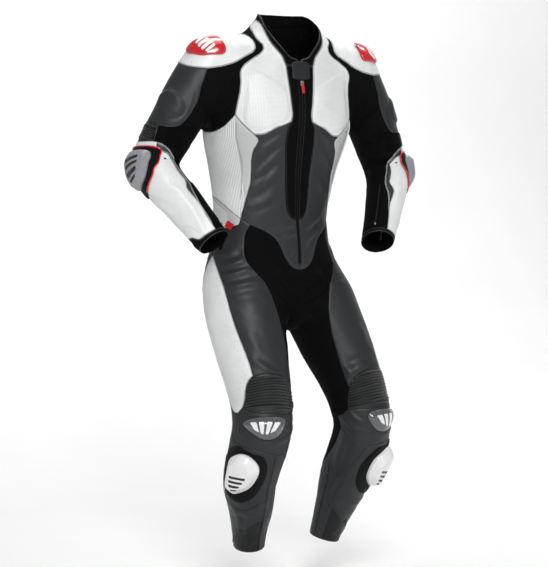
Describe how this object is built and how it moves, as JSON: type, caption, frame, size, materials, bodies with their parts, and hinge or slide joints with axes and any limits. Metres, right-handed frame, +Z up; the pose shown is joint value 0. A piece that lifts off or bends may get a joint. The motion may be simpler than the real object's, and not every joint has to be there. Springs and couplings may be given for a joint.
{
  "type": "motorcycle race suit",
  "caption": "One-piece leather race suit with padded shoulders, ribbed stretch panels, hard sliders and a front zip, standing as worn.",
  "frame": {"origin": "middle of the neck at its base, where the wearer's shoulders hold the suit up", "axes": "+Z up to the collar, -Y the way the wearer faces, +X the wearer's left"},
  "size_m": [0.8314, 0.3715, 1.352],
  "materials": {
    "black_stretch": "matt black ribbed stretch cloth",
    "dark_leather": "satin charcoal leather",
    "grey_plastic": "moulded grey plastic",
    "hook_pad": "matt black loop pile",
    "red_plastic": "moulded red plastic",
    "steel": "dark nickel finish",
    "white_leather": "satin white leather, finely perforated",
    "white_plastic": "moulded white plastic",
    "zip_black": "black zip tape and teeth"
  },
  "bodies": {
    "suit": {"abdomen_left": "dark_leather", "abdomen_right": "dark_leather", "back": "dark_leather", "calf_left": "black_stretch", "calf_right": "black_stretch", "chest_left": "white_leather", "chest_right": "white_leather", "collar": "black_stretch", "cuff_left": "black_stretch", "cuff_right": "black_stretch", "elbow_pad_left": "hook_pad", "elbow_pad_right": "hook_pad", "elbow_pleats_left": "black_stretch", "elbow_pleats_right": "black_stretch", "elbow_slider_left": "grey_plastic", "elbow_slider_right": "grey_plastic", "flank_left": "white_leather", "flank_right": "white_leather", "forearm_left": "white_leather", "forearm_right": "white_leather", "groin": "black_stretch", "hip_ribs_left": "white_leather", "hip_ribs_right": "white_leather", "knee_cup_left": "dark_leather", "knee_cup_right": "dark_leather", "knee_plate_left": "grey_plastic", "knee_plate_right": "grey_plastic", "knee_pleats_left": "black_stretch", "knee_pleats_right": "black_stretch", "knee_slider_left": "white_plastic", "knee_slider_right": "white_plastic", "main_zip": "zip_black", "neck_tab": "black_stretch", "placket_left": "black_stretch", "placket_right": "black_stretch", "seat_left": "dark_leather", "seat_right": "dark_leather", "shin_left": "dark_leather", "shin_right": "dark_leather", "shoulder_cup_left": "white_leather", "shoulder_cup_right": "white_leather", "shoulder_slider_left": "red_plastic", "shoulder_slider_right": "red_plastic", "sleeve_back_left": "black_stretch", "sleeve_back_right": "black_stretch", "sleeve_front_left": "black_stretch", "sleeve_front_right": "black_stretch", "sleeve_outer_left": "dark_leather", "sleeve_outer_right": "dark_leather", "slider_pad_left": "hook_pad", "slider_pad_right": "hook_pad", "thigh_front_left": "dark_leather", "thigh_front_right": "dark_leather", "thigh_inner_left": "black_stretch", "thigh_inner_right": "black_stretch", "thigh_outer_left": "white_leather", "thigh_outer_right": "white_leather", "zip_slider": "steel"},
    "pull": {"zip_pull": "red_plastic"}
  },
  "joints": [
    {"name": "pull_swing", "type": "hinge", "parent": "suit", "child": "pull", "pos_m": [-0.00437, -0.1357, -0.10501], "axis": [1, 0, 0], "range_deg": [-100, 0]}
  ]
}
